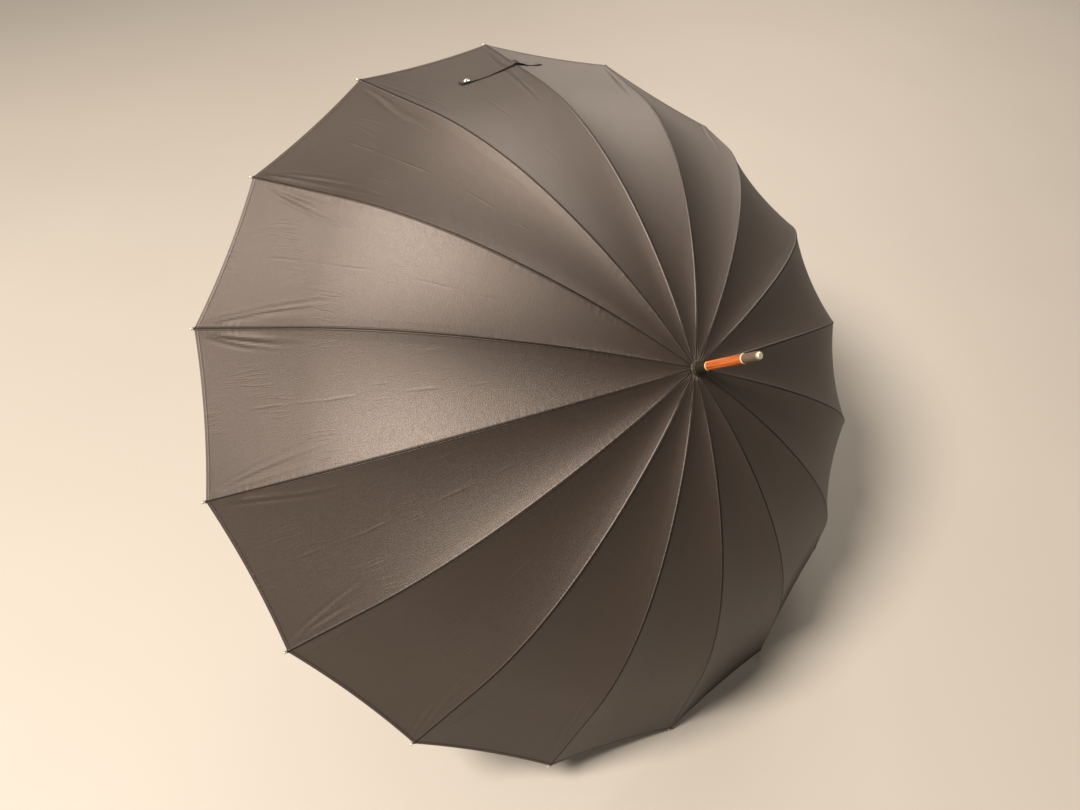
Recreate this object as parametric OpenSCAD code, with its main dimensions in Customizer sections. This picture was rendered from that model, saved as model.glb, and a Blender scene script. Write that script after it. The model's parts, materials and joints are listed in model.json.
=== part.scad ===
// Stick umbrella with sixteen ribs, open and lying on the floor on two rib tips and its crook.
// Every sub-part is drawn in the umbrella's own frame: the shaft runs along Z towards the ferrule,
// and Z = 0 is the plane of the sixteen rib tips. place() then lays the whole umbrella down.
// Each rib has a springy outer length. It turns at its flex point, so that it closes along the shaft.

/* [Ribs] */
// Bend radius of the inner stretch of a rib
rib_inner_radius = 700; // [650:10:750]
// Bend radius of the outer stretch of a rib
rib_outer_radius = 515; // [480:5:550]
// Angle that each of the two stretches bends through
rib_bend = 23.5; // [22:0.5:25]
// Length of the straight end of a rib, tip cap included
rib_tail = 157; // [140:1:170]
// Angle along the inner stretch at which the stretcher is riveted
stretcher_at = 22.5; // [22:0.1:22.8]
// Distance of that rivet below the middle of the rib
rivet_drop = 4.5; // [4.2:0.1:5]
// Width of a rib channel
rib_w = 3.2; // [3:0.1:3.4]
// Height of a rib channel
rib_h = 2.8; // [2.6:0.1:3]
// Width of a stretcher channel
stretcher_w = 3; // [2.8:0.1:3.2]
// Height of a stretcher channel
stretcher_h = 2.4; // [2.2:0.1:2.6]
// Thickness of the channels' sheet steel
sheet_t = 0.5; // [0.4:0.05:0.55]

/* [Shaft and ferrule] */
// Diameter of the wooden shaft
shaft_d = 12.5; // [12:0.5:13]
// Diameter of the wooden rod above the crown
rod_d = 12.2; // [11.8:0.1:12.4]
// Length of the wooden rod above the top cap
rod_l = 63.5; // [50:0.5:80]
// Length of the black top cap
cap_l = 22.5; // [18:0.5:26]
// Length of the dark ferrule sleeve
sleeve_l = 22; // [18:0.5:26]
// Length of the metal ferrule tip
tip_l = 3.5; // [3:0.5:6]

/* [Handle] */
// Depth of the crook's middle below the plane of the rib tips
crook_depth = 465; // [440:1:490]
// Radius of the crook along the middle of the wood
crook_radius = 38; // [34:1:44]
// Diameter of the handle
handle_d = 20; // [18:0.5:21]
// Length of the straight grip above the crook
grip_l = 130; // [110:1:135]
// Length of the metal collar above the grip
collar_l = 20; // [14:1:24]

/* [Runner and catches] */
// Radius of the circle of rib and stretcher pivots
pivot_r = 11.5; // [11.5:0.1:12]
// Length of the runner's tube below its pivots
runner_l = 48; // [40:1:55]
// Play between the shaft and what slides on it
slide_play = 0.35; // [0.3:0.05:0.4]
// How far a catch stands out of the shaft
catch_out = 3; // [2.5:0.1:3]
// Angle that closes the umbrella
fold_angle = 75; // [74:0.1:75.2]

/* [Canopy and strap] */
// Thickness of the cloth
cloth_t = 0.8; // [0.6:0.1:1]
// Gap between the ribs and the cloth
cloth_gap = 0.45; // [0.4:0.05:0.6]
// Length of rib end that stands out past the cloth
tip_out = 8; // [6:0.5:10]
// Length of the tie strap's free end past its seam
strap_free_l = 104; // [80:1:110]
// Distance of the strap's sewn root from that seam
strap_root_l = 62; // [45:1:70]
// Width of the tie strap
strap_w = 11; // [8:0.5:14]
// Number of the rib that the strap crosses
strap_rib = 4; // [1:1:16]

/* [Hidden] */
$fn = 48;
ribs = 16;
pitch = 360 / ribs;
half = pitch / 2;
end_slope = 2 * rib_bend;

// The rib line: an inner arc, an outer arc and a straight tail that ends at the rim plane
flex_r = rib_inner_radius * sin(rib_bend);
tail_r = flex_r + rib_outer_radius * (sin(end_slope) - sin(rib_bend));
rim_r = tail_r + rib_tail * cos(end_slope);
tail_z = rib_tail * sin(end_slope);
flex_z = tail_z + rib_outer_radius * (cos(rib_bend) - cos(end_slope));
crown_z = flex_z + rib_inner_radius * (1 - cos(rib_bend));
inner_centre_z = crown_z - rib_inner_radius;
outer_centre_r = flex_r - rib_outer_radius * sin(rib_bend);
outer_centre_z = flex_z - rib_outer_radius * cos(rib_bend);

// The linkage: rib lever and stretcher have one length, so the runner moves straight along the shaft
pivot_angle = asin(pivot_r / rib_inner_radius);
pivot_z = inner_centre_z + rib_inner_radius * cos(pivot_angle);
rivet_r = (rib_inner_radius - rivet_drop) * sin(stretcher_at);
rivet_z = inner_centre_z + (rib_inner_radius - rivet_drop) * cos(stretcher_at);
lever = norm([rivet_r - pivot_r, pivot_z - rivet_z]);
lever_slope = atan2(pivot_z - rivet_z, rivet_r - pivot_r);
foot_z = pivot_z - 2 * lever * sin(lever_slope);

// Eyes at the notch and the runner, their slots and the wire rings through them
eye_r = 2;
eye_t = 1.8;
eye_h = 1.8;
eye_l = 6.5;
eye_bore_r = 0.85;
wire_r = 0.6;
wire_play = 0.05;
slot_w = 2.4;
slot_floor_r = 9;
slot_open = 6;
slot_play = 0.25;
flange_r = 14.4;
flange_h = 8.4;

// Rivet between rib and stretcher: a lug under the rib, between the two cheeks of the fork
rivet_pin_r = 0.8;
rivet_hole_r = 0.95;
head_r = 1.5;
head_t = 0.6;
head_gap = 0.2;
lug_t = 1;
lug_r = 2;
lug_pad_h = 1.8;
lug_pad_in = 0.7;
cheek_in = 0.8;
cheek_l = 4.2;

// Flex hinge between the two lengths of a rib
flex_pin_r = 0.55;
flex_hole_r = 0.65;
flex_gap = 2.2;
flex_web_gap = 1.7;
fork_l = 4;
tongue_r = 1.1;
tongue_h = 1.7;
tongue_t = 1.8;
tongue_l = 9;

// Filler blocks that join an eye plate or a tongue to its channel's walls
lap = 3;
lap_inset = 0.2;
filler_in = 2.5;
filler_h = 1.6;
cut_w = 8;

// Heights along the shaft
shaft_r = shaft_d / 2;
rod_r = rod_d / 2;
cloth_in = rib_h / 2 + cloth_gap;
hub_rise = 2.4;
cap_rise = 3.4;
hub_top_z = crown_z + hub_rise;
cap_z = crown_z + cap_rise;
rod_z = cap_z + cap_l;
rod_top_z = rod_z + rod_l;
spigot_r = 3.4;
snug = 0.05;
chamfer = 0.8;
grip_z = -crook_depth + grip_l;
shaft_in_grip = 90;
shaft_bottom_z = grip_z - shaft_in_grip;
rod_shoulder_l = 4;
end_wall = 1.8;
spigot_gap = 0.2;
runner_bottom_z = foot_z - runner_l;
closed_foot_z = pivot_z - 2 * lever * sin(lever_slope + fold_angle);

// Catches: blade length and thickness, pin, distance of the pin from the axis, shoulder heights
catch_l = 22;
catch_t = 1.2;
catch_root_r = 1.6;
catch_pin_r = 0.8;
catch_pin_l = 5.6;
catch_r = 1.5;
catch_nose_l = 1.5;
catch_ramp = 0.45;
flush_inset = 0.8;
shoulder_gap = 0.4;
closed_share = 0.6;
upper_shoulder_z = runner_bottom_z - shoulder_gap;
lower_shoulder_z = closed_foot_z - runner_l * closed_share;

// Notch and runner: tube, finger flange and keyway
notch_tube_r = 8.8;
notch_tube_l = 12;
notch_bore_l = 40;
runner_tube_r = 10.8;
runner_flange_r = 12.6;
under_flange_l = 5;
finger_flange_l = 4;
over_cut = 20;
keyway_w = 2.4;

// Ferrule, collar and cap radii
sleeve_r = 5.5;
sleeve_ring_r = 5.8;
sleeve_ring_l = 1.2;
tip_r = 4.3;
tip_bevel = 1.2;
collar_r = 9.6;
collar_ring_r = 10.2;
collar_ring_l = 2.5;
cap_r = 8.2;
cap_foot_r = 8.8;
cap_foot_l = 3;
cap_ring_r = 8.5;
cap_ring_z = 5;
cap_ring_l = 1.6;

// Tie strap: where it crosses its seam, how far its root runs towards the rim, its thickness and snap
strap_at = rib_tail - 100;
strap_run = 40;
strap_t = 0.9;
strap_lift = 0.4;
strap_lap = 0.6;
snap_r = 5;
snap_h = 1.6;
snap_in = 18;
ridge_tilt = atan(tan(half) * sin(end_slope));

// Lying on the floor: one line touches the two lowest rib tips and the outside of the crook
tip_ball_r = 1.9;
end_cap_r = 2.3;
end_cap_l = 4.6;
end_neck_r = 1.3;
end_gap = 0.7;
low_r = rim_r * cos(half);
crook_outer_r = crook_radius + handle_d / 2;
line_angle = atan2(low_r - crook_radius, crook_depth);
line_length = norm([low_r - crook_radius, crook_depth]);
lean = line_angle - asin((crook_outer_r - tip_ball_r) / line_length);
rise = low_r * cos(lean) + tip_ball_r;

// The origin is under the middle of the whole: the cloth bulges past the rim plane at the front
bulge = norm([cos(half) * sin(lean), cos(lean)]);
front_reach = outer_centre_r * cos(half) * sin(lean) + outer_centre_z * cos(lean)
    + (rib_outer_radius + cloth_in + cloth_t) * bulge;
back_reach = low_r * sin(lean) + tip_ball_r;
shift_y = (front_reach - back_reach) / 2;

function two(i) = i < 10 ? str("0", i) : str(i);
function rib_angle(i) = half + pitch * (i - 1);
function rib_names(part) = [for (i = [1:ribs]) str("rib_", two(i), part)];
function stretcher_names() = [for (i = [1:ribs]) str("stretcher_", two(i))];

// Lays the umbrella down from its own frame
module place() {
    translate([0, shift_y, rise]) rotate([90 - lean, 0, 0]) children();
}

// Turns a shape drawn in the plane of radius (X) and height (Z) to the rib with this number
module at_rib(i) {
    place() rotate([0, 0, rib_angle(i)]) children();
}

// A round bar across that plane, centred on it
module cross_bar(r, z, bar_r, length) {
    translate([r, 0, z]) rotate([90, 0, 0]) cylinder(r = bar_r, h = length, center = true);
}

// A flat shape drawn in radius and height, given a thickness across the plane
module plate(thickness) {
    rotate([90, 0, 0]) linear_extrude(thickness, center = true) children();
}

// Section of a folded channel, web outwards, drawn as (distance from the bend's centre, width)
module channel_section(mid, width, height) {
    difference() {
        translate([mid - height / 2, -width / 2]) square([height, width]);
        translate([mid - height / 2 - 1, sheet_t - width / 2])
            square([height - sheet_t + 1, width - 2 * sheet_t]);
    }
}

// A bent channel about a centre, between two slopes measured down from level
module bent_channel(centre_r, centre_z, radius, from_slope, to_slope) {
    translate([centre_r, 0, centre_z]) rotate([90, 0, 0]) rotate([0, 0, 90 - to_slope])
        rotate_extrude(angle = to_slope - from_slope) channel_section(radius, rib_w, rib_h);
}

// A straight channel from a point, running outwards along a slope, web on top
module straight_channel(r, z, slope, from, to, width, height) {
    translate([r, 0, z]) rotate([0, slope, 0]) difference() {
        translate([from, -width / 2, -height / 2]) cube([to - from, width, height]);
        translate([from - 1, sheet_t - width / 2, -height / 2 - 1])
            cube([to - from + 2, width - 2 * sheet_t, height - sheet_t + 1]);
    }
}

// Round plate with an arm along a slope, flat faces across the plane
module eye_plate(r, z, slope, radius, arm_l, arm_h, thickness) {
    union() {
        cross_bar(r, z, radius, thickness);
        translate([r, 0, z]) rotate([0, slope, 0])
            translate([0, -thickness / 2, -arm_h / 2]) cube([arm_l, thickness, arm_h]);
    }
}

// Block that fills the channel of an inner rib length from a slope on
module rib_filler(slope) {
    translate([0, 0, inner_centre_z]) rotate([0, slope, 0])
        translate([0, -rib_w / 2, rib_inner_radius - filler_h / 2]) cube([lap, rib_w, filler_h]);
}

// Inner length of a rib: eye at the notch, channel, rivet lug for the stretcher and flex tongue
module rib_inner(i) {
    from_slope = asin((pivot_r + eye_l) / rib_inner_radius);
    to_slope = rib_bend - asin(flex_gap / rib_inner_radius);
    color("dimgray") at_rib(i) difference() {
        union() {
            bent_channel(0, inner_centre_z, rib_inner_radius, from_slope, to_slope);
            eye_plate(pivot_r, pivot_z, pivot_angle, eye_r, eye_l + lap, eye_h, eye_t);
            rivet_lug();
            eye_plate(flex_r, flex_z, rib_bend + 180, tongue_r, tongue_l, tongue_h, tongue_t);
            cross_bar(flex_r, flex_z, flex_pin_r, rib_w);
            rib_filler(from_slope + asin(lap_inset / rib_inner_radius));
            rib_filler(to_slope - asin((filler_in + lap) / rib_inner_radius));
        }
        cross_bar(pivot_r, pivot_z, eye_bore_r, cut_w);
    }
}

// Thin lug under the rib with the rivet that holds the stretcher's fork
module rivet_lug() {
    head_y = stretcher_w / 2 + head_gap + head_t / 2;
    union() {
        cross_bar(rivet_r, rivet_z, lug_r, lug_t);
        translate([rivet_r, 0, rivet_z]) rotate([0, stretcher_at, 0]) {
            translate([-lug_r, -lug_t / 2, 0]) cube([2 * lug_r, lug_t, rivet_drop + rib_h / 2 - 0.1]);
            translate([-lug_r, -rib_w / 2, rivet_drop - lug_pad_in])
                cube([2 * lug_r, rib_w, lug_pad_h]);
        }
        cross_bar(rivet_r, rivet_z, rivet_pin_r, 2 * head_y);
        for (side = [-1, 1]) translate([0, side * head_y, 0]) cross_bar(rivet_r, rivet_z, head_r, head_t);
    }
}

// Outer length of a rib: fork at the flex pin, bent channel, straight tail and end cap
module rib_outer(i) {
    web_slope = rib_bend + asin(flex_web_gap / rib_outer_radius);
    tail_l = rib_tail - tip_out + end_gap;
    color("dimgray") at_rib(i) {
        difference() {
            union() {
                bent_channel(outer_centre_r, outer_centre_z, rib_outer_radius, web_slope, end_slope);
                straight_channel(tail_r, tail_z, end_slope, 0, tail_l, rib_w, rib_h);
                for (side = [-1, 1]) translate([0, side * (rib_w - sheet_t) / 2, 0])
                    eye_plate(flex_r, flex_z, rib_bend, rib_h / 2, fork_l, rib_h, sheet_t);
            }
            cross_bar(flex_r, flex_z, flex_hole_r, cut_w);
        }
        rib_end_cap(tail_l);
    }
}

// Cap on the end of the channel, just past the cloth, ending in a small ball
module rib_end_cap(from) {
    cap_end = from + end_cap_l;
    translate([tail_r, 0, tail_z]) rotate([0, end_slope + 90, 0]) union() {
        translate([0, 0, from]) cylinder(r = end_cap_r, h = end_cap_l);
        translate([0, 0, cap_end]) cylinder(r = end_neck_r, h = rib_tail - cap_end);
        translate([0, 0, rib_tail]) sphere(r = tip_ball_r);
    }
}

// Stretcher: fork at the rivet, channel open towards the rib, and foot eye at the runner
module stretcher(i) {
    channel_to = lever - eye_l;
    cheek_t = stretcher_w / 2 - cheek_in;
    color("dimgray") at_rib(i) translate([rivet_r, 0, rivet_z]) rotate([0, 180 - lever_slope, 0])
        difference() {
            union() {
                straight_channel(0, 0, 0, cheek_l, channel_to, stretcher_w, stretcher_h);
                for (side = [-1, 1]) translate([0, side * (cheek_in + cheek_t / 2), 0])
                    eye_plate(0, 0, 0, eye_r, cheek_l + lap, stretcher_h, cheek_t);
                eye_plate(lever, 0, 180, eye_r, eye_l + lap, eye_h, eye_t);
                translate([channel_to - lap + lap_inset, -stretcher_w / 2, -eye_h / 2])
                    cube([lap - 2 * lap_inset, stretcher_w, eye_h]);
            }
            cross_bar(0, 0, rivet_hole_r, cut_w);
            cross_bar(lever, 0, eye_bore_r, cut_w);
        }
}

// Ring of slots for the rib or stretcher eyes, open outwards and on one side
module eye_slots(z, low, high) {
    for (i = [1:ribs]) rotate([0, 0, rib_angle(i)])
        translate([slot_floor_r, -slot_w / 2, z + low]) cube([flange_r, slot_w, high - low]);
}

module wire_ring(z, wire) {
    translate([0, 0, z]) rotate_extrude() translate([pivot_r, 0]) circle(r = wire, $fn = 24);
}

// Slotted crown fixed to the shaft, with the wire that carries the rib eyes
module notch() {
    bottom_z = pivot_z - flange_h / 2;
    color("silver") place() {
        difference() {
            union() {
                translate([0, 0, bottom_z]) cylinder(r = flange_r, h = hub_top_z - bottom_z);
                translate([0, 0, bottom_z - notch_tube_l]) cylinder(r = notch_tube_r, h = notch_tube_l + 1);
            }
            translate([0, 0, bottom_z - notch_tube_l - 1]) cylinder(r = shaft_r + snug, h = notch_bore_l);
            eye_slots(pivot_z, -slot_open, eye_r + slot_play);
            wire_ring(pivot_z, wire_r + wire_play);
        }
        wire_ring(pivot_z, wire_r);
    }
}

// Sliding runner: slotted flange, tube, finger flange and a keyway that clears the catches
module runner() {
    keyway_r = shaft_r + catch_out + slide_play;
    cut_l = runner_l + over_cut;
    color("dimgray") place() {
        difference() {
            union() {
                translate([0, 0, foot_z - flange_h / 2]) cylinder(r = flange_r, h = flange_h);
                translate([0, 0, foot_z - flange_h / 2 - under_flange_l + 1])
                    cylinder(r = runner_flange_r, h = under_flange_l);
                translate([0, 0, runner_bottom_z]) cylinder(r = runner_tube_r, h = runner_l);
                translate([0, 0, runner_bottom_z]) cylinder(r = runner_flange_r, h = finger_flange_l);
            }
            translate([0, 0, runner_bottom_z - 1]) {
                cylinder(r = shaft_r + slide_play, h = cut_l);
                translate([-keyway_w / 2, 0, 0]) cube([keyway_w, keyway_r, cut_l]);
            }
            eye_slots(foot_z, -eye_r - slot_play, slot_open);
            wire_ring(foot_z, wire_r + wire_play);
        }
        wire_ring(foot_z, wire_r);
    }
}

// Sprung catch drawn about its pin: a blade whose nose stands out of the shaft
module catch_blade() {
    nose_r = shaft_r + catch_out - catch_r;
    flush_r = shaft_r - catch_r - flush_inset;
    union() {
        plate(catch_t) polygon([[-catch_root_r, 0], [catch_root_r, 0], [flush_r, catch_l * catch_ramp],
            [nose_r, catch_l - catch_nose_l], [nose_r, catch_l], [-catch_root_r, catch_l]]);
        cross_bar(0, 0, catch_root_r, catch_t);
        cross_bar(0, 0, catch_pin_r, catch_pin_l);
    }
}

// Slot in the shaft with the seat of the catch's pin
module catch_slot() {
    side_play = 0.3;
    end_play = 1.2;
    floor_r = 5.2;
    wide = catch_t + 2 * side_play;
    long = catch_l + catch_root_r + 2 * end_play;
    translate([-floor_r, -wide / 2, -catch_root_r - end_play]) cube([shaft_d + floor_r, wide, long]);
    cross_bar(0, 0, catch_pin_r + 0.1, catch_pin_l + 0.4);
}

// Places a catch at its side of the shaft, so that its shoulder is at the given height
module at_catch(shoulder_z, up) {
    translate([0, 0, shoulder_z]) rotate([0, 0, 90]) mirror([0, 0, up > 0 ? 0 : 1])
        translate([catch_r, 0, -catch_l]) children();
}

module upper_catch() {
    color("silver") place() at_catch(upper_shoulder_z, 1) catch_blade();
}

module lower_catch() {
    color("silver") place() at_catch(lower_shoulder_z, -1) catch_blade();
}

// Wooden shaft from inside the handle to the ferrule's spigot, in one turned piece
module shaft() {
    shoulder_z = rod_z - rod_shoulder_l;
    bevel_z = rod_top_z - chamfer;
    color("sienna") place() difference() {
        union() {
            translate([0, 0, shaft_bottom_z]) cylinder(r = shaft_r, h = shoulder_z - shaft_bottom_z);
            translate([0, 0, shoulder_z - 1]) cylinder(r = rod_r, h = bevel_z - shoulder_z + 1);
            translate([0, 0, bevel_z]) cylinder(r1 = rod_r, r2 = rod_r - chamfer, h = chamfer);
            translate([0, 0, rod_top_z - 1])
                cylinder(r = spigot_r, h = sleeve_l + 1 - end_wall - spigot_gap);
        }
        at_catch(upper_shoulder_z, 1) catch_slot();
        at_catch(lower_shoulder_z, -1) catch_slot();
    }
}

// Turned grip and the crook, which hooks towards the floor
module handle() {
    grip_r = handle_d / 2;
    taper_l = 2;
    hook_end_l = 12;
    color("saddlebrown") place() difference() {
        union() {
            translate([0, 0, -crook_depth]) {
                cylinder(r = grip_r, h = grip_l - taper_l);
                translate([0, -crook_radius, 0]) rotate([0, 90, 0]) rotate([0, 0, -90])
                    rotate_extrude(angle = 180) translate([crook_radius, 0]) circle(r = grip_r);
                translate([0, -2 * crook_radius, 0]) cylinder(r = grip_r, h = hook_end_l);
                translate([0, -2 * crook_radius, hook_end_l]) sphere(r = grip_r);
            }
            translate([0, 0, grip_z - taper_l]) cylinder(r1 = grip_r, r2 = grip_r - 1, h = taper_l);
        }
        translate([0, 0, shaft_bottom_z - lap_inset]) cylinder(r = shaft_r + snug, h = grip_l);
    }
}

// Metal collar that covers the joint of shaft and grip
module handle_collar() {
    color("gold") place() translate([0, 0, grip_z]) difference() {
        union() {
            cylinder(r = collar_r, h = collar_l);
            for (z = [0, collar_l - collar_ring_l])
                translate([0, 0, z]) cylinder(r = collar_ring_r, h = collar_ring_l);
        }
        translate([0, 0, -1]) cylinder(r = shaft_r + snug, h = collar_l + 2);
    }
}

// Black cap that presses the cloth down on the notch, with two turned rings
module top_cap() {
    color("black") place() translate([0, 0, cap_z]) difference() {
        union() {
            cylinder(r = cap_r, h = cap_l);
            cylinder(r = cap_foot_r, h = cap_foot_l);
            translate([0, 0, cap_ring_z]) cylinder(r = cap_ring_r, h = cap_ring_l);
        }
        translate([0, 0, -1]) {
            cylinder(r = shaft_r + snug, h = cap_l + 1 - rod_shoulder_l);
            cylinder(r = rod_r + snug, h = cap_l + 2);
        }
    }
}

module ferrule_sleeve() {
    color("dimgray") place() translate([0, 0, rod_top_z]) difference() {
        union() {
            cylinder(r = sleeve_r, h = sleeve_l);
            cylinder(r = sleeve_ring_r, h = sleeve_ring_l);
        }
        translate([0, 0, -1]) cylinder(r = spigot_r + snug, h = sleeve_l + 1 - end_wall);
    }
}

module ferrule_tip() {
    color("silver") place() translate([0, 0, rod_top_z + sleeve_l]) union() {
        cylinder(r = tip_r, h = tip_l - tip_bevel);
        translate([0, 0, tip_l - tip_bevel]) cylinder(r1 = tip_r, r2 = tip_r - tip_bevel, h = tip_bevel);
    }
}

// Points of a line parallel to the rib line at a distance outside it, from inner to outer slope
function arc_points(centre_r, centre_z, radius, from, to, steps) =
    [for (s = [0:steps]) let (a = from + (to - from) * s / steps)
        [centre_r + radius * sin(a), centre_z + radius * cos(a)]];
function cloth_line(out) = concat(
    arc_points(0, inner_centre_z, rib_inner_radius + out, 2, rib_bend, 12),
    arc_points(outer_centre_r, outer_centre_z, rib_outer_radius + out, rib_bend, end_slope, 12),
    [[tail_r + (rib_tail - tip_out) * cos(end_slope) + out * sin(end_slope),
      tail_z - (rib_tail - tip_out) * sin(end_slope) + out * cos(end_slope)]]);
function reversed(list) = [for (i = [len(list) - 1:-1:0]) list[i]];

// One gore: flat across its width, cut to the wedge between two ribs
module gore() {
    flat_z = cap_z - cloth_t - 0.05;
    hole_r = shaft_r + 0.25;
    narrow = cos(half);
    block_w = 300;
    wedge_r = 600;
    wedge_h = 400;
    under = [for (p = cloth_line(cloth_in)) [p[0] * narrow, p[1]]];
    over = [for (p = cloth_line(cloth_in + cloth_t)) [p[0] * narrow, p[1]]];
    crown_under = [[hole_r, flat_z], [flange_r + 0.6, flat_z]];
    crown_over = [[hole_r, flat_z + cloth_t], [flange_r + cloth_t, flat_z + cloth_t]];
    intersection() {
        rotate([90, 0, 0]) linear_extrude(block_w, center = true)
            polygon(concat(crown_under, under, reversed(over), reversed(crown_over)));
        linear_extrude(wedge_h)
            polygon([[0, 0], [wedge_r, -wedge_r * tan(half)], [wedge_r, wedge_r * tan(half)]]);
    }
}

// The canopy's sixteen sewn gores
module canopy() {
    color("darkslategray") place()
        for (i = [1:ribs]) rotate([0, 0, pitch * (i - 1)]) gore();
}

// Half of the tie strap, on the flat of the gore on one side of its seam
module strap_half(side, outline) {
    rotate([-side * ridge_tilt, 0, 0]) linear_extrude(strap_t) polygon(outline);
}

// Tie strap: sewn to one gore, over the seam, its free end and snap on the next gore
module tie_strap() {
    wide = strap_w / 2;
    color("black") place() rotate([0, 0, rib_angle(strap_rib)])
        translate([tail_r, 0, tail_z]) rotate([0, end_slope, 0])
            translate([strap_at, 0, cloth_in + cloth_t + strap_lift]) {
                union() {
                    strap_half(1, [[-wide, -strap_lap], [wide, -strap_lap], [wide, strap_free_l - wide],
                        [0, strap_free_l], [-wide, strap_free_l - wide]]);
                    strap_half(-1, [[-wide, strap_lap], [wide, strap_lap],
                        [strap_run + wide, -strap_root_l], [strap_run - wide, -strap_root_l]]);
                }
                rotate([-ridge_tilt, 0, 0]) translate([0, strap_free_l - snap_in, strap_t])
                    cylinder(r = snap_r, h = snap_h);
            }
}

shaft();
handle();
handle_collar();
top_cap();
ferrule_sleeve();
ferrule_tip();
notch();
runner();
upper_catch();
lower_catch();
canopy();
tie_strap();
for (i = [1:ribs]) rib_inner(i);
for (i = [1:ribs]) rib_outer(i);
for (i = [1:ribs]) stretcher(i);
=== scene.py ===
import json
import math

import bpy
import numpy as np
from mathutils import Matrix, Vector


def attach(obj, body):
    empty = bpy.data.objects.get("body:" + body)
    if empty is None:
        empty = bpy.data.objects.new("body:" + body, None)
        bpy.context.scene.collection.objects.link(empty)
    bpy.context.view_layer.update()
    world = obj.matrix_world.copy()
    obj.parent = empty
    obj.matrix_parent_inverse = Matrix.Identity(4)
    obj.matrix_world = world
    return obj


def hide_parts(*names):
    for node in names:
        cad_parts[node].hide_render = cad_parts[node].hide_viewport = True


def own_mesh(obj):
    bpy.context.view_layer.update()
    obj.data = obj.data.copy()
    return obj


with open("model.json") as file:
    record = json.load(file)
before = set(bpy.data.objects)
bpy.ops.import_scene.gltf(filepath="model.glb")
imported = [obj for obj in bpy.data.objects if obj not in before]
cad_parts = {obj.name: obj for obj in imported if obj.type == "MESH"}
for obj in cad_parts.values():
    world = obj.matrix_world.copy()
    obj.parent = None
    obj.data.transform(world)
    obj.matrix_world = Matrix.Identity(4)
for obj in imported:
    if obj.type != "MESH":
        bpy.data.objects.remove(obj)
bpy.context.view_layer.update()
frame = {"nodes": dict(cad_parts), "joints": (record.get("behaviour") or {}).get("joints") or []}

# ---------------------------------------------------------------- sizes, in metres and radians
RIBS = 16
PITCH = 2 * math.pi / RIBS
HALF = PITCH / 2
RIB_INNER_RADIUS = 0.700
RIB_OUTER_RADIUS = 0.515
RIB_BEND = math.radians(23.5)
RIB_TAIL = 0.157
TIP_OUT = 0.008
CLOTH_LIFT = 0.0024
CLOTH_THICK = 0.0004
CAP_RADIUS = 0.0082

# The rib line, by length along it from the shaft's axis: inner arc, outer arc, straight tail
FLEX_S = RIB_INNER_RADIUS * RIB_BEND
TAIL_S = FLEX_S + RIB_OUTER_RADIUS * RIB_BEND
END_S = TAIL_S + RIB_TAIL
RIM_S = END_S - TIP_OUT
END_SLOPE = 2 * RIB_BEND
TAIL_Z = RIB_TAIL * math.sin(END_SLOPE)
FLEX_Z = TAIL_Z + RIB_OUTER_RADIUS * (math.cos(RIB_BEND) - math.cos(END_SLOPE))
CROWN_Z = FLEX_Z + RIB_INNER_RADIUS * (1 - math.cos(RIB_BEND))
CROWN_S = 0.0075
ROD_Z = CROWN_Z + 0.0259
ROD_TOP_Z = ROD_Z + 0.0635
HEM_WIDE = 0.0055
RIB_END_BARE = 0.0054
STRAP_HALF = 0.0055

joints = {j["name"]: j for j in frame["joints"]}


# ---------------------------------------------------------------- the umbrella's own frame
def fold_joint(i):
    return joints["fold" if i == 1 else f"rib_{i:02d}_fold"]


def umbrella_frame():
    """Matrix from the umbrella's frame (Z to the ferrule, 0 at the rim plane) to the row frame."""
    pivots = np.array([fold_joint(i)["pos_m"] for i in range(1, RIBS + 1)])
    centre = pivots.mean(0)
    radial = pivots[0] - centre
    pivot_r = np.linalg.norm(radial)
    radial /= pivot_r
    axis = np.cross(radial, np.array(fold_joint(1)["axis"]))
    axis /= np.linalg.norm(axis)
    side = np.cross(axis, radial)
    x = radial * math.cos(HALF) - side * math.sin(HALF)
    y = np.cross(axis, x)
    pivot_z = CROWN_Z - RIB_INNER_RADIUS + math.sqrt(RIB_INNER_RADIUS ** 2 - pivot_r ** 2)
    m = np.eye(4)
    m[:3, 0], m[:3, 1], m[:3, 2] = x, y, axis
    m[:3, 3] = centre - axis * pivot_z
    return m


PLACE = umbrella_frame()


def to_row(points):
    return np.asarray(points) @ PLACE[:3, :3].T + PLACE[:3, 3]


def direction(vector):
    return np.asarray(vector, float) @ PLACE[:3, :3].T


def rib_azimuth(i):
    return HALF + PITCH * (i - 1)


def rib_line(s):
    """(radius, height, slope) of the ribs' middle at lengths s from the axis."""
    s = np.asarray(s, float)
    a = np.clip(s / RIB_INNER_RADIUS, None, RIB_BEND)
    b = np.clip((s - FLEX_S) / RIB_OUTER_RADIUS, 0, RIB_BEND)
    t = np.clip(s - TAIL_S, 0, None)
    slope = a + b
    r = (RIB_INNER_RADIUS * np.sin(a)
         + RIB_OUTER_RADIUS * (np.sin(RIB_BEND + b) - math.sin(RIB_BEND))
         + t * math.cos(END_SLOPE))
    z = (CROWN_Z - RIB_INNER_RADIUS * (1 - np.cos(a))
         - RIB_OUTER_RADIUS * (math.cos(RIB_BEND) - np.cos(RIB_BEND + b))
         - t * math.sin(END_SLOPE))
    return r, z, slope


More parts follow.
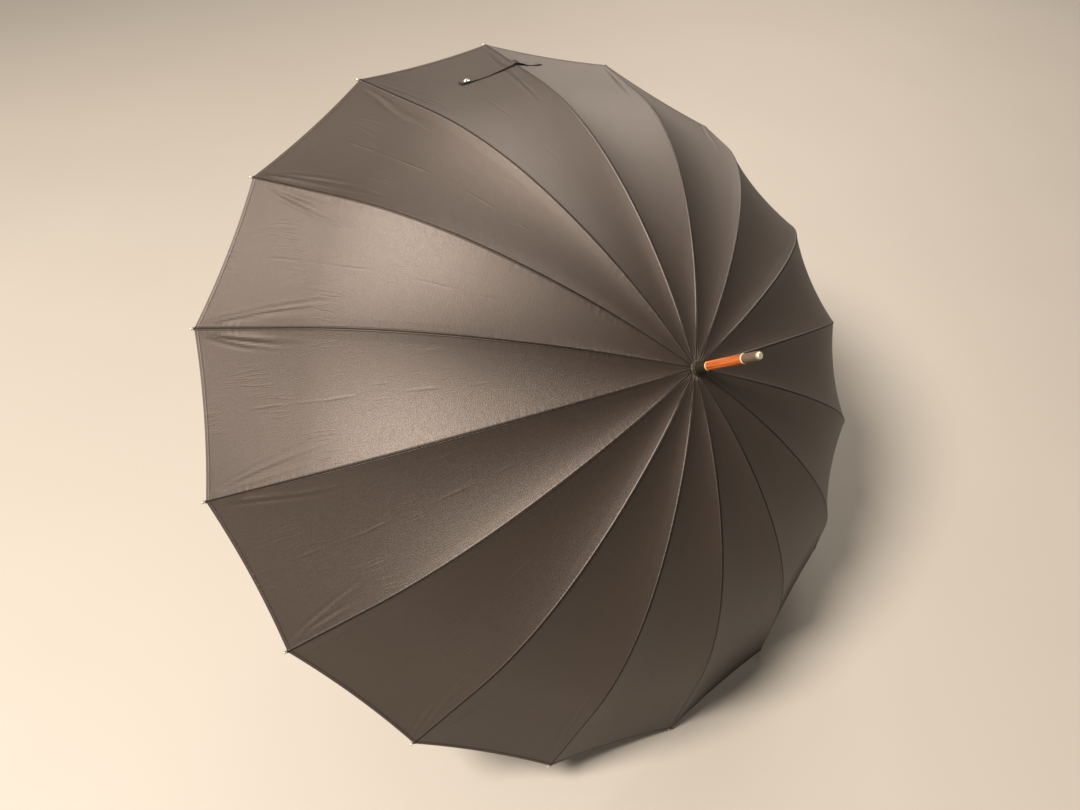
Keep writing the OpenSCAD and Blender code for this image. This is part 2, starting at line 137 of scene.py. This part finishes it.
# ---------------------------------------------------------------- mesh helpers
def new_mesh(name, points, faces, uvs=None, material=None, normals=None):
    """A mesh object in the row frame. uvs maps a UV layer's name to one (u, v) per point."""
    mesh = bpy.data.meshes.new(name)
    mesh.from_pydata([tuple(p) for p in points], [], [tuple(f) for f in faces])
    loops = np.zeros(len(mesh.loops), np.int32)
    mesh.loops.foreach_get("vertex_index", loops)
    for layer_name, values in (uvs or {}).items():
        layer = mesh.uv_layers.new(name=layer_name)
        layer.data.foreach_set("uv", np.asarray(values, np.float32)[loops].ravel())
    mesh.validate()
    mesh.shade_smooth()
    if normals is not None:
        mesh.normals_split_custom_set_from_vertices([tuple(n) for n in normals])
    if material is not None:
        mesh.materials.append(material)
    obj = bpy.data.objects.new(name, mesh)
    bpy.context.scene.collection.objects.link(obj)
    return obj


def grid_faces(rows, cols, start, flip):
    """Four-cornered faces between the rows of a grid of points whose first index is start."""
    faces = []
    for i in range(rows - 1):
        for j in range(cols - 1):
            a = start + i * cols + j
            b, c, d = a + 1, a + cols, a + cols + 1
            faces.append((a, c, d, b) if flip else (a, b, d, c))
    return faces


def frame_of(axis):
    """A direction made one long, and two unit vectors across it."""
    axis = np.asarray(axis, float) / np.linalg.norm(axis)
    helper = np.array([1.0, 0, 0]) if abs(axis[0]) < 0.8 else np.array([0, 1.0, 0])
    u = np.cross(axis, helper)
    u /= np.linalg.norm(u)
    return axis, u, np.cross(axis, u)


def lathe(name, profile, origin, axis, material):
    """A closed solid of revolution. The profile's points are (distance along the axis, radius)."""
    segments = 48
    axis, u, v = frame_of(axis)
    points, faces, rings = [], [], []
    for along, radius in profile:
        base = np.asarray(origin) + axis * along
        if radius < 1e-7:
            rings.append([len(points)])
            points.append(base)
            continue
        rings.append(list(range(len(points), len(points) + segments)))
        for k in range(segments):
            a = 2 * math.pi * k / segments
            points.append(base + radius * (u * math.cos(a) + v * math.sin(a)))
    for low, high in zip(rings, rings[1:]):
        for k in range(segments):
            n = (k + 1) % segments
            if len(low) == 1:
                faces.append((low[0], high[n], high[k]))
            elif len(high) == 1:
                faces.append((low[k], low[n], high[0]))
            else:
                faces.append((low[k], low[n], high[n], high[k]))
    return new_mesh(name, points, faces, material=material)


def bevel(obj, width):
    """Round the sharp edges of a CAD piece as it is drawn."""
    m = obj.modifiers.new("Bevel", "BEVEL")
    m.width, m.segments = width, 2
    m.limit_method, m.angle_limit = "ANGLE", math.radians(35)
    m.harden_normals = True


# ---------------------------------------------------------------- material helpers
class Nodes:
    """Short names for building one node material."""

    def __init__(self, name):
        self.material = bpy.data.materials.new(name)
        self.material.use_nodes = True
        self.tree = self.material.node_tree
        self.shader = self.tree.nodes["Principled BSDF"]

    def new(self, kind, **settings):
        node = self.tree.nodes.new(kind)
        for key, value in settings.items():
            setattr(node, key, value)
        return node

    def put(self, socket, value):
        if isinstance(value, bpy.types.NodeSocket):
            self.tree.links.new(value, socket)
        else:
            socket.default_value = value

    def set(self, **values):
        for key, value in values.items():
            self.put(self.shader.inputs[key.replace("_", " ")], value)

    def math(self, operation, a, b=0.0, clamp=False):
        node = self.new("ShaderNodeMath", operation=operation, use_clamp=clamp)
        self.put(node.inputs[0], a)
        self.put(node.inputs[1], b)
        return node.outputs[0]

    def vector(self, x, y, z=0.0):
        node = self.new("ShaderNodeCombineXYZ")
        for k, value in enumerate((x, y, z)):
            self.put(node.inputs[k], value)
        return node.outputs[0]

    def split(self, vector):
        node = self.new("ShaderNodeSeparateXYZ")
        self.put(node.inputs[0], vector)
        return node.outputs

    def noise(self, vector, scale=1.0, detail=2.0, rough=0.5):
        node = self.new("ShaderNodeTexNoise")
        self.put(node.inputs["Vector"], vector)
        node.inputs["Scale"].default_value = scale
        node.inputs["Detail"].default_value = detail
        node.inputs["Roughness"].default_value = rough
        return node.outputs["Fac"]

    def ramp(self, fac, *stops):
        node = self.new("ShaderNodeValToRGB")
        self.put(node.inputs[0], fac)
        elements = node.color_ramp.elements
        while len(elements) < len(stops):
            elements.new(0.5)
        for element, (place, colour) in zip(elements, stops):
            element.position = place
            element.color = (*colour, 1)
        return node.outputs[0]

    def mix(self, fac, a, b):
        node = self.new("ShaderNodeMix", data_type="RGBA")
        self.put(node.inputs[0], fac)
        for socket, value in ((node.inputs[6], a), (node.inputs[7], b)):
            self.put(socket, (*value, 1) if isinstance(value, tuple) and len(value) == 3 else value)
        return node.outputs[2]

    def span(self, value, low, high, to_low=0.0, to_high=1.0):
        node = self.new("ShaderNodeMapRange")
        for k, v in enumerate((value, low, high, to_low, to_high)):
            self.put(node.inputs[k], v)
        return node.outputs[0]

    def bump(self, height, strength, distance, normal=None):
        node = self.new("ShaderNodeBump")
        node.inputs["Strength"].default_value = strength
        node.inputs["Distance"].default_value = distance
        self.put(node.inputs["Height"], height)
        if normal is not None:
            self.put(node.inputs["Normal"], normal)
        self.put(self.shader.inputs["Normal"], node.outputs[0])
        return node.outputs[0]

    def object_place(self):
        return self.new("ShaderNodeTexCoord").outputs["Object"]

    def umbrella_place(self):
        """Object coordinates turned into the umbrella's frame, so that Z runs along the shaft."""
        node = self.new("ShaderNodeMapping", vector_type="TEXTURE")
        m = Matrix(PLACE.tolist())
        node.inputs["Location"].default_value = m.translation
        node.inputs["Rotation"].default_value = m.to_euler("XYZ")
        self.put(node.inputs["Vector"], self.object_place())
        return node.outputs[0]


def scaled(n, vector, x, y, z):
    node = n.new("ShaderNodeVectorMath", operation="MULTIPLY")
    n.put(node.inputs[0], vector)
    node.inputs[1].default_value = (x, y, z)
    return node.outputs[0]


# ---------------------------------------------------------------- materials
def weave(n, uv):
    """Random threads both ways. Returns (tone, height) of the cloth from a flat map in metres."""
    threads, thread_run, tone_share = 2300, 60, 0.75
    warp = n.noise(scaled(n, uv, threads, thread_run, 1), detail=2)
    weft = n.noise(scaled(n, uv, thread_run, threads, 1), detail=2)
    fine = n.noise(scaled(n, uv, 1100, 1100, 1), detail=2)
    crossed = n.math("MULTIPLY", n.math("ADD", warp, weft), 0.5)
    broad = n.noise(scaled(n, uv, 9, 6, 1), detail=3)
    tone = n.math("ADD", n.math("MULTIPLY", crossed, tone_share),
                  n.math("MULTIPLY", broad, 1 - tone_share))
    return tone, n.math("ADD", n.math("MULTIPLY", crossed, 0.5), n.math("MULTIPLY", fine, 0.9))


def band(n, value, middle, half_width, soft):
    """1 within half_width of a value, falling to 0 over a soft edge."""
    far = n.math("ABSOLUTE", n.math("SUBTRACT", value, middle))
    return n.span(far, half_width, half_width + soft, 1.0, 0.0)


def stitches(n, along, pitch, share=0.6):
    """Dashes along a line: 1 on a thread and 0 in the gap after it."""
    phase = n.math("FRACT", n.math("DIVIDE", along, pitch))
    return n.span(phase, share, share + 0.08, 1.0, 0.0)


def cloth_finish(n, colour, rough_low, rough_high, grain):
    n.set(Base_Color=colour, IOR=1.5, Specular_IOR_Level=0.9, Specular_Tint=(1.0, 0.88, 0.80, 1),
          Roughness=n.span(grain, 0.4, 1.0, rough_low, rough_high))


def canopy_material():
    """Woven canopy cloth. UVMap: U across from mid-gore, V along. Seam: U off the seam, V along."""
    n = Nodes("canopy_cloth")
    uv = n.new("ShaderNodeUVMap", uv_map="UVMap").outputs[0]
    across, along, _ = n.split(uv)
    off_seam, seam_along, _ = n.split(n.new("ShaderNodeUVMap", uv_map="Seam").outputs[0])
    tone, threads = weave(n, uv)
    colour = n.ramp(tone, (0.36, (0.0070, 0.0038, 0.0024)), (0.64, (0.0170, 0.0100, 0.0068)))

    # The felled seam: a groove beside its ridge, darkened with painted shade, and puckers that fade away
    # from it
    painted_groove_shade = n.math("MULTIPLY", band(n, off_seam, 0.0, 0.0008, 0.0008),
                    n.span(seam_along, 0.02, 0.16, 0.4, 1.0))
    pucker_noise = n.noise(n.vector(n.math("MULTIPLY", off_seam, 30), n.math("MULTIPLY", seam_along, 170)),
                           detail=2)
    pucker = n.math("MULTIPLY", pucker_noise, n.span(off_seam, 0.002, 0.013, 1.0, 0.0))
    pucker = n.math("MULTIPLY", pucker, n.span(seam_along, 0.03, 0.12))

    # The hem: a row of dark stitches along its inner edge
    hem_line = band(n, seam_along, RIM_S - HEM_WIDE, 0.00035, 0.0003)
    hem = n.math("MULTIPLY", hem_line, stitches(n, across, 0.0028))

    # Fold lines kept from storage: one down mid-gore, and faint ones that wander along the cloth
    wander = n.noise(scaled(n, uv, 14, 9, 1), detail=2)
    shifted = n.math("ADD", across, n.math("MULTIPLY", n.math("SUBTRACT", wander, 0.5), 0.006))
    outer_half = n.span(along, 0.22, 0.36)
    kept = n.span(n.noise(scaled(n, uv, 1, 14, 1)), 0.42, 0.62)
    mid_line = band(n, shifted, 0.0, 0.0003, 0.0022)
    mid_fold = n.math("MULTIPLY", n.math("MULTIPLY", mid_line, outer_half), kept)
    streak = n.noise(scaled(n, uv, 75, 5.5, 1), detail=3, rough=0.55)
    ridge = n.span(n.math("ABSOLUTE", n.math("SUBTRACT", streak, 0.5)), 0.0, 0.035, 1.0, 0.0)
    patches = n.span(n.noise(scaled(n, uv, 16, 12, 1), detail=1), 0.54, 0.66)
    faint = n.math("MULTIPLY", n.math("MULTIPLY", ridge, patches), outer_half)

    # Painted shade in the seam's groove, together with the hem's dark stitch thread: both darken the
    # colour here and cut the reflection below
    dark = n.math("MAXIMUM", painted_groove_shade, hem)
    colour = n.mix(n.math("MULTIPLY", dark, 0.8), colour, (0.003, 0.002, 0.0015))
    cloth_finish(n, colour, 0.44, 0.62, threads)
    n.set(Specular_IOR_Level=n.span(dark, 0.0, 1.0, 0.95, 0.25))
    storage_folds = n.math("ADD", n.math("MULTIPLY", mid_fold, 0.5), n.math("MULTIPLY", faint, 0.3))
    soft = n.bump(storage_folds, 0.55, 0.0009)
    soft = n.bump(n.math("SUBTRACT", n.math("MULTIPLY", pucker, 0.9), dark), 0.6, 0.0012, soft)
    n.bump(threads, 0.75, 0.0006, soft)
    return n.material


def strap_material():
    """Doubled strap cloth. UVMap: U across from the middle, V along. Two topstitched edges."""
    n = Nodes("strap_cloth")
    uv = n.new("ShaderNodeUVMap", uv_map="UVMap").outputs[0]
    across, along, _ = n.split(uv)
    tone, threads = weave(n, uv)
    colour = n.ramp(tone, (0.36, (0.007, 0.0045, 0.003)), (0.64, (0.018, 0.0115, 0.008)))
    edge = band(n, n.math("ABSOLUTE", across), STRAP_HALF - 0.0016, 0.0002, 0.0002)
    thread = n.math("MULTIPLY", edge, stitches(n, along, 0.0024))
    cloth_finish(n, n.mix(thread, colour, (0.010, 0.008, 0.007)), 0.46, 0.62, threads)
    soft = n.bump(thread, 0.8, 0.0005)
    n.bump(threads, 0.5, 0.0006, soft)
    return n.material


def wood_material(name, dark, mid, light, gloss, rings=()):
    """Varnished wood with its grain along the shaft, and painted highlight rings at the given heights:
    pale bands standing in for the light on bevelled ends.
    """
    n = Nodes(name)
    place = n.umbrella_place()
    wavy = n.noise(scaled(n, place, 60, 60, 9), detail=3)
    x, y, z = n.split(place)
    across = n.vector(n.math("ADD", x, n.math("MULTIPLY", wavy, 0.002)),
                      n.math("ADD", y, n.math("MULTIPLY", wavy, 0.0015)), z)
    grain = n.noise(scaled(n, across, 1100, 1100, 22), detail=4, rough=0.6)
    broad = n.noise(scaled(n, across, 260, 260, 9), detail=2)
    pores = n.noise(scaled(n, place, 2600, 2600, 110), detail=1)
    tone = n.math("ADD", n.math("MULTIPLY", grain, 0.6), n.math("MULTIPLY", broad, 0.4))
    colour = n.ramp(tone, (0.36, dark), (0.5, mid), (0.66, light))
    pitted = n.span(pores, 0.66, 0.74, 0.0, 0.55)
    colour = n.mix(pitted, colour, tuple(c * 0.35 for c in dark))
    # Painted highlight: a pale band at each given height, for the light caught by the rod's bevelled ends
    for highlight_ring in rings:
        colour = n.mix(band(n, z, highlight_ring, 0.0013, 0.0004), colour, (0.62, 0.42, 0.22))
    n.set(Base_Color=colour, Roughness=n.span(grain, 0.3, 0.7, gloss, gloss + 0.12),
          Coat_Weight=0.35, Coat_Roughness=0.12, IOR=1.45)
    n.bump(n.math("SUBTRACT", n.math("MULTIPLY", grain, 0.4), pitted), 0.25, 0.0004)
    return n.material


def metal_material(name, colour, rough, worn=None, wear=0.5, metallic=1.0, coat=0.0):
    """Metal or lacquer with fine turning lines, and worn spots in another colour."""
    n = Nodes(name)
    place = n.umbrella_place()
    lines = n.noise(scaled(n, place, 120, 120, 5200), detail=1)
    spots = n.noise(scaled(n, place, 420, 420, 420), detail=4, rough=0.65)
    base = n.mix(n.span(spots, 0.35, 0.7), tuple(c * 0.82 for c in colour), colour)
    if worn is not None:
        base = n.mix(n.span(spots, 1.0 - wear * 0.5, 1.05 - wear * 0.5), base, worn)
    n.set(Base_Color=base, Metallic=metallic, Coat_Weight=coat, Coat_Roughness=0.2)
    n.set(Roughness=n.span(n.math("ADD", lines, spots), 0.6, 1.4, rough * 0.8, rough * 1.3))
    n.bump(n.math("ADD", lines, n.math("MULTIPLY", spots, 0.6)), 0.12, 0.0002)
    return n.material


def cap_material():
    """Black lacquer over brass: the brass shows on the cap's turned rings."""
    n = Nodes("cap_lacquer")
    place = n.umbrella_place()
    x, y, _ = n.split(place)
    radius = n.math("SQRT", n.math("ADD", n.math("MULTIPLY", x, x), n.math("MULTIPLY", y, y)))
    spots = n.noise(scaled(n, place, 500, 500, 500), detail=4, rough=0.7)
    edge = n.span(radius, CAP_RADIUS + 0.0001, CAP_RADIUS + 0.0005)
    worn = n.math("MULTIPLY", edge, n.span(spots, 0.42, 0.66, 0.05, 0.7), clamp=True)
    n.set(Base_Color=n.mix(worn, (0.014, 0.012, 0.007), (0.42, 0.34, 0.20)))
    n.set(Metallic=n.span(worn, 0.0, 1.0, 0.25, 1.0), Roughness=n.span(spots, 0.3, 0.7, 0.26, 0.42))
    n.bump(spots, 0.1, 0.0002)
    return n.material


def rib_material():
    """Black lacquered steel with bright scuffs, and a bare nickel ball past the end of the cloth."""
    n = Nodes("rib_lacquer")
    place = n.umbrella_place()
    _, _, height = n.split(place)
    spots = n.noise(scaled(n, place, 380, 380, 380), detail=4, rough=0.65)
    lines = n.noise(scaled(n, place, 90, 90, 90), detail=2)
    scuffs = n.span(n.math("ADD", spots, n.math("MULTIPLY", lines, 0.3)), 0.80, 0.86, 0.0, 0.8)
    bare = n.span(height, RIB_END_BARE, RIB_END_BARE + 0.0003, 1.0, 0.0)
    base = n.mix(scuffs, (0.018, 0.016, 0.015), (0.20, 0.19, 0.18))
    n.set(Base_Color=n.mix(bare, base, (0.66, 0.62, 0.54)))
    n.set(Metallic=n.math("MAXIMUM", bare, n.span(scuffs, 0, 1, 0.3, 0.9)),
          Roughness=n.span(spots, 0.3, 0.7, 0.28, 0.44))
    n.bump(spots, 0.15, 0.0002)
    return n.material


def floor_material():
    n = Nodes("pale_floor")
    soft = n.noise(n.object_place(), scale=1.5, detail=3)
    n.set(Base_Color=n.mix(soft, (0.292, 0.267, 0.236), (0.316, 0.291, 0.257)), Roughness=0.6)
    return n.material


CLOTH = canopy_material()
STRAP_CLOTH = strap_material()
# The rings at ROD_Z and ROD_TOP_Z are painted highlights on the rod's bevelled ends
SHAFT_WOOD = wood_material("shaft_wood", dark=(0.10, 0.016, 0.004), mid=(0.28, 0.062, 0.012),
                           light=(0.46, 0.15, 0.036), gloss=0.30, rings=(ROD_Z, ROD_TOP_Z))
HANDLE_WOOD = wood_material("handle_wood", dark=(0.085, 0.024, 0.009), mid=(0.17, 0.052, 0.018),
                            light=(0.27, 0.10, 0.038), gloss=0.28)
CAP_METAL = cap_material()
SLEEVE_METAL = metal_material("sleeve_metal", (0.20, 0.145, 0.10), 0.50, worn=(0.36, 0.27, 0.17),
                              wear=0.75, metallic=0.7)
TIP_METAL = metal_material("tip_metal", (0.62, 0.58, 0.46), 0.52, metallic=0.8)
NICKEL = metal_material("nickel", (0.70, 0.70, 0.68), 0.26)
SPRING_STEEL = metal_material("spring_steel", (0.62, 0.62, 0.61), 0.30)
BRASS = metal_material("collar_brass", (0.78, 0.58, 0.26), 0.24)
LACQUER = rib_material()
RUNNER_LACQUER = metal_material("runner_lacquer", (0.018, 0.018, 0.018), 0.30, worn=(0.32, 0.31, 0.29),
                                wear=0.6, metallic=0.4, coat=0.3)
SNAP_METAL = metal_material("snap_metal", (0.86, 0.84, 0.80), 0.22)


# ---------------------------------------------------------------- camera, light and floor
def make_camera():
    """A camera at the photograph's viewing angle: above and to the left of the ferrule."""
    focal_share = 0.7039
    place = Vector((-0.5778, -0.6333, 1.2276))
    pitch, yaw, roll = math.radians(44.92), math.radians(38.20), math.radians(0.19)
    data = bpy.data.cameras.new("camera")
    data.sensor_width = 36.0
    data.lens = 36.0 * focal_share
    data.clip_start, data.clip_end = 0.05, 60
    cam = bpy.data.objects.new("camera", data)
    bpy.context.scene.collection.objects.link(cam)
    cam.matrix_world = (Matrix.Translation(place) @ Matrix.Rotation(-yaw, 4, "Z")
                        @ Matrix.Rotation(math.pi / 2 - pitch, 4, "X")
                        @ Matrix.Rotation(roll, 4, "Z"))
    bpy.context.scene.camera = cam


def area_light(name, place, target, size, power, colour):
    data = bpy.data.lights.new(name, "AREA")
    data.shape, data.size = "DISK", size
    data.energy, data.color = power, colour
    light = bpy.data.objects.new(name, data)
    bpy.context.scene.collection.objects.link(light)
    light.location = place
    light.rotation_euler = (Vector(target) - Vector(place)).to_track_quat("-Z", "Y").to_euler()


def make_studio():
    area_light("key", place=(-2.88, 0.42, 4.57), target=(-0.10, -0.10, 0.45), size=1.7, power=730,
               colour=(1.0, 0.91, 0.81))
    area_light("back", place=(3.6, 2.2, 3.4), target=(0.4, 0.4, 0.2), size=3.0, power=170,
               colour=(1.0, 0.90, 0.80))
    world = bpy.data.worlds.new("soft_room")
    world.use_nodes = True
    background = world.node_tree.nodes["Background"]
    background.inputs["Color"].default_value = (1.0, 0.90, 0.78, 1)
    background.inputs["Strength"].default_value = 0.22
    bpy.context.scene.world = world
    bpy.context.scene.view_settings.view_transform = "Standard"
    reach = 9.0
    floor = new_mesh("floor", [(-reach, -reach, 0), (reach, -reach, 0), (reach, reach, 0),
                               (-reach, reach, 0)], [(0, 1, 2, 3)], material=floor_material())


# ---------------------------------------------------------------- canopy
SAG = 0.0085
HEM_CUT = 0.0035
SEAM_HIGH = 0.0004
SEAM_WIDE = 0.0022
HEM_HIGH = 0.0005
CROWN_RISE = 0.0006
CROWN_PLEAT_HIGH = 0.00018


def tension_folds(i, side, d, back):
    """Heights of the long thin folds that pull away from a rib's tip, nearly along its seam."""
    rng = np.random.default_rng(40 + 2 * i + (side > 0))
    height = np.zeros_like(d)
    for _ in range(rng.integers(3, 7)):
        start = rng.uniform(0.008, 0.035)
        length = rng.uniform(0.07, 0.20)
        run = (back - start) / length
        spread = rng.uniform(0.05, 0.28)
        middle = rng.uniform(0.004, 0.010) + spread * (back - start) * (1 - 0.35 * np.clip(run, 0, 1))
        wide = rng.uniform(0.0020, 0.0036)
        high = rng.uniform(0.0002, 0.0006)
        fade = np.sin(np.clip(run, 0, 1) * math.pi) ** 0.7
        across = (d - middle) / wide
        height += high * fade * (np.exp(-across ** 2) - 0.6 * np.exp(-(across - 1.7) ** 2))
    return height


def cloth_surface(i, side, s, d_share):
    """Points of half a gore in the umbrella's frame. d_share is 0 at rib i's seam and 1 at mid-gore."""
    near_rim = np.clip((s - TAIL_S) / (RIM_S - TAIL_S), 0, 1)
    cut = s - HEM_CUT * d_share * (2 - d_share) * near_rim ** 2
    r, z, slope = rib_line(cut)
    out = CLOTH_LIFT + CROWN_RISE * np.clip((0.030 - s) / 0.022, 0, 1)
    r = r + out * np.sin(slope)
    z = z + out * np.cos(slope)
    half_width = r * math.sin(HALF)
    d = half_width * d_share
    to_middle = half_width - d
    tilt = np.arctan(np.tan(slope) / math.cos(HALF))
    belly = np.sin(np.clip((s - 0.02) / (RIM_S + 0.03), 0, 1) * math.pi) ** 0.8
    sag = SAG * belly * d_share * (2 - d_share)
    ridge = SEAM_HIGH * np.clip((SEAM_WIDE - d) / 0.0006, 0, 1) * np.clip(half_width / 0.020, 0, 1)
    folds = tension_folds(i, side, d, RIM_S + 0.004 - s) * np.clip(d / 0.004 - 0.6, 0, 1)
    near_cap = np.clip((0.050 - s) / 0.035, 0, 1)
    pleats = CROWN_PLEAT_HIGH * near_cap * np.cos(d_share * 3 * math.pi + i)
    hem = HEM_HIGH * np.clip((s - RIM_S + HEM_WIDE) / 0.0008, 0, 1)
    off = ridge + folds + pleats + hem - sag
    x = r * math.cos(HALF) + off * np.sin(tilt)
    z = z + off * np.cos(tilt)
    middle = rib_azimuth(i) + side * HALF
    px = x * math.cos(middle) + side * to_middle * math.sin(middle)
    py = x * math.sin(middle) - side * to_middle * math.cos(middle)
    return np.stack([px, py, z], -1), d, to_middle


def cloth_normals(i, side, s, d_share):
    """The cloth's outward normals, from the points a small step away on each side."""
    step, share = 1e-4, 1e-3
    ahead = cloth_surface(i, side, s + step, d_share)[0]
    behind = cloth_surface(i, side, s - step, d_share)[0]
    inner = cloth_surface(i, side, s, np.clip(d_share - share, 0, 1))[0]
    outer = cloth_surface(i, side, s, np.clip(d_share + share, 0, 1))[0]
    n = np.cross(ahead - behind, outer - inner) * side
    return n / (np.linalg.norm(n, axis=-1, keepdims=True) + 1e-12)


def gore_columns(half_width, outer):
    """Shares of the half width: close at the seam's ridge and its folds, then even to mid-gore."""
    wide = np.maximum(half_width[:, None], 0.012)
    near = np.array([0, 0.0010, 0.0016, 0.0021, 0.0030]) / wide
    if outer:
        folds = np.linspace(0.0055, 0.055, 19) / 0.109
        shares = np.concatenate([folds, np.linspace(folds[-1], 1, 8)[1:]])
    else:
        shares = np.linspace(0.07, 1, 12)
    rest = near[:, -1:] + (1 - near[:, -1:]) * shares
    return np.concatenate([near, rest], 1)


def closed_sheet(name, top, normals, thick, uvs, material, flip):
    """A thin closed sheet from a grid of points on its outer face, with smooth stated normals."""
    rows, cols = top.shape[:2]
    count = rows * cols
    under = top - normals * thick
    faces = grid_faces(rows, cols, 0, not flip) + grid_faces(rows, cols, count, flip)
    edge = (list(range(cols)) + [k * cols + cols - 1 for k in range(1, rows)]
            + [(rows - 1) * cols + j for j in range(cols - 2, -1, -1)]
            + [k * cols for k in range(rows - 2, 0, -1)])
    for a, b in zip(edge, edge[1:] + edge[:1]):
        faces.append((a, b, b + count, a + count) if flip else (b, a, a + count, b + count))
    both = {key: np.concatenate([value.reshape(-1, 2)] * 2) for key, value in uvs.items()}
    points = np.concatenate([top.reshape(-1, 3), under.reshape(-1, 3)])
    faced = np.concatenate([normals.reshape(-1, 3), -normals.reshape(-1, 3)])
    return new_mesh(name, to_row(points), faces, uvs=both, material=material, normals=direction(faced))


def half_gore(i, side, outer):
    """Half a gore over one length of a rib: a thin closed sheet that follows that rib."""
    if outer:
        hem_rows = RIM_S - np.array([0.0085, HEM_WIDE + 0.0006, HEM_WIDE - 0.0006, 0.003, 0])
        s = np.concatenate([np.linspace(FLEX_S, RIM_S, 58)[:-2], hem_rows])
    else:
        s = np.linspace(CROWN_S, FLEX_S, 44)
    r, _, _ = rib_line(s)
    d_share = gore_columns(r * math.sin(HALF), outer)
    lengths = np.repeat(s[:, None], d_share.shape[1], 1)
    top, off_seam, to_middle = cloth_surface(i, side, lengths, d_share)
    normals = cloth_normals(i, side, lengths, d_share)

    # At mid-gore the two halves share one normal, with no sideways part
    middle = rib_azimuth(i) + side * HALF
    across = np.array([-math.sin(middle), math.cos(middle), 0])
    last = normals[:, -1] - np.outer(normals[:, -1] @ across, across)
    normals[:, -1] = last / np.linalg.norm(last, axis=-1, keepdims=True)

    part, hand = ("outer" if outer else "inner"), ("left" if side > 0 else "right")
    uvs = {"UVMap": np.stack([-side * to_middle, lengths], -1),
           "Seam": np.stack([off_seam, lengths], -1)}
    obj = closed_sheet(f"gore_{i:02d}_{hand}_{part}", top, normals, CLOTH_THICK, uvs, CLOTH, side < 0)
    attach(obj, f"rib_{i:02d}_{part}")
    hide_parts("canopy")
    squash_gore(obj)


def squash_gore(obj):
    """Gives the piece a mesh of its own. It does not fold the piece as the umbrella closes."""
    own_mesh(obj)


def make_canopy():
    for i in range(1, RIBS + 1):
        for side in (1, -1):
            for outer in (False, True):
                half_gore(i, side, outer)


# ---------------------------------------------------------------- tie strap
STRAP_RIB = 4
STRAP_S = TAIL_S + 0.057
STRAP_FREE = 0.104
STRAP_ROOT = 0.062
STRAP_RUN = 0.040
STRAP_THICK = 0.0011
SNAP_IN = 0.018


def strap_point(side, off, run, lift):
    """A point on the cloth, and its normal, from distances off and along the seam of the strap's rib."""
    s = np.asarray(STRAP_S + run, float)
    half_width = rib_line(s)[0] * math.sin(HALF)
    share = np.clip(np.asarray(off, float) / half_width, 0, 1)
    point, _, _ = cloth_surface(STRAP_RIB, side, s, share)
    normal = cloth_normals(STRAP_RIB, side, s, np.clip(share, 0.06, 1))
    return point + normal * np.asarray(lift)[..., None], normal


def strap_length(name, side, reach, run_at_end, pointed):
    """One length of the strap, from the seam outwards over the cloth on one side."""
    t = np.concatenate([np.linspace(0, 0.92, 40), np.linspace(0.94, 1, 6)])
    w = np.array([-1, -0.97, -0.86, -0.5, 0, 0.5, 0.86, 0.97, 1.0])
    along, across = np.meshgrid(t, w, indexing="ij")
    length = math.hypot(reach, run_at_end)
    cos_run, sin_run = reach / length, run_at_end / length
    narrowing = np.clip((1 - along) * length / STRAP_HALF, 0, 1) if pointed else 1.0
    wide = across * STRAP_HALF * (0.12 + 0.88 * narrowing)
    off = along * reach - wide * sin_run
    run = along * run_at_end + wide * cos_run
    ripple = 0.0007 * np.sin(along * 9.0) * np.clip(along * 6, 0, 1)
    lift = 0.0016 + ripple + 0.0006 * np.clip(1 - np.abs(across) ** 4, 0, 1)
    lift = lift + 0.0022 * (along * reach < 0.012) * (1 - along * reach / 0.012)
    top, normal = strap_point(side, np.clip(off, 0, None), run, lift)
    uvs = {"UVMap": np.stack([wide, along * length], -1)}
    obj = closed_sheet(name, top, normal, STRAP_THICK, uvs, STRAP_CLOTH, side > 0)
    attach(obj, f"rib_{STRAP_RIB:02d}_outer")
    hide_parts("tie_strap")
    squash_gore(obj)


def make_strap():
    strap_length("strap_free_end", 1, STRAP_FREE, 0.0, pointed=True)
    strap_length("strap_root", -1, STRAP_ROOT, STRAP_RUN, pointed=False)
    seat, normal = strap_point(1, STRAP_FREE - SNAP_IN, 0.0, 0.0022)
    stud = [(0, 0), (0, 0.0050), (0.0004, 0.0052), (0.0010, 0.0048), (0.0012, 0.0040), (0.0008, 0.0031),
            (0.0009, 0.0024), (0.0020, 0.0022), (0.0027, 0.0016), (0.0029, 0.0008), (0.0029, 0)]
    snap = lathe("strap_snap", stud, to_row(seat), direction(normal), SNAP_METAL)
    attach(snap, f"rib_{STRAP_RIB:02d}_outer")
    squash_gore(snap)


# ---------------------------------------------------------------- CAD nodes and their materials
def dress(node, material, width=0.0):
    """Give a CAD node its material, and a bevel of this width if it is above 0."""
    obj = frame["nodes"][node]
    obj.data.materials.clear()
    obj.data.materials.append(material)
    if width:
        bevel(obj, width)


def dress_nodes():
    for node, material, width in (
            ("shaft", SHAFT_WOOD, 0.0003), ("handle", HANDLE_WOOD, 0.0), ("handle_collar", BRASS, 0.0004),
            ("top_cap", CAP_METAL, 0.0004), ("ferrule_sleeve", SLEEVE_METAL, 0.0004),
            ("ferrule_tip", TIP_METAL, 0.0005), ("notch", NICKEL, 0.0), ("runner", RUNNER_LACQUER, 0.0),
            ("upper_catch", SPRING_STEEL, 0.0), ("lower_catch", SPRING_STEEL, 0.0),
            ("tie_strap", STRAP_CLOTH, 0.0)):
        dress(node, material, width)
    for i in range(1, RIBS + 1):
        dress(f"rib_{i:02d}_inner", LACQUER)
        dress(f"rib_{i:02d}_outer", LACQUER)
        dress(f"stretcher_{i:02d}", LACQUER)


make_camera()
make_canopy()
make_strap()
dress_nodes()
make_studio()
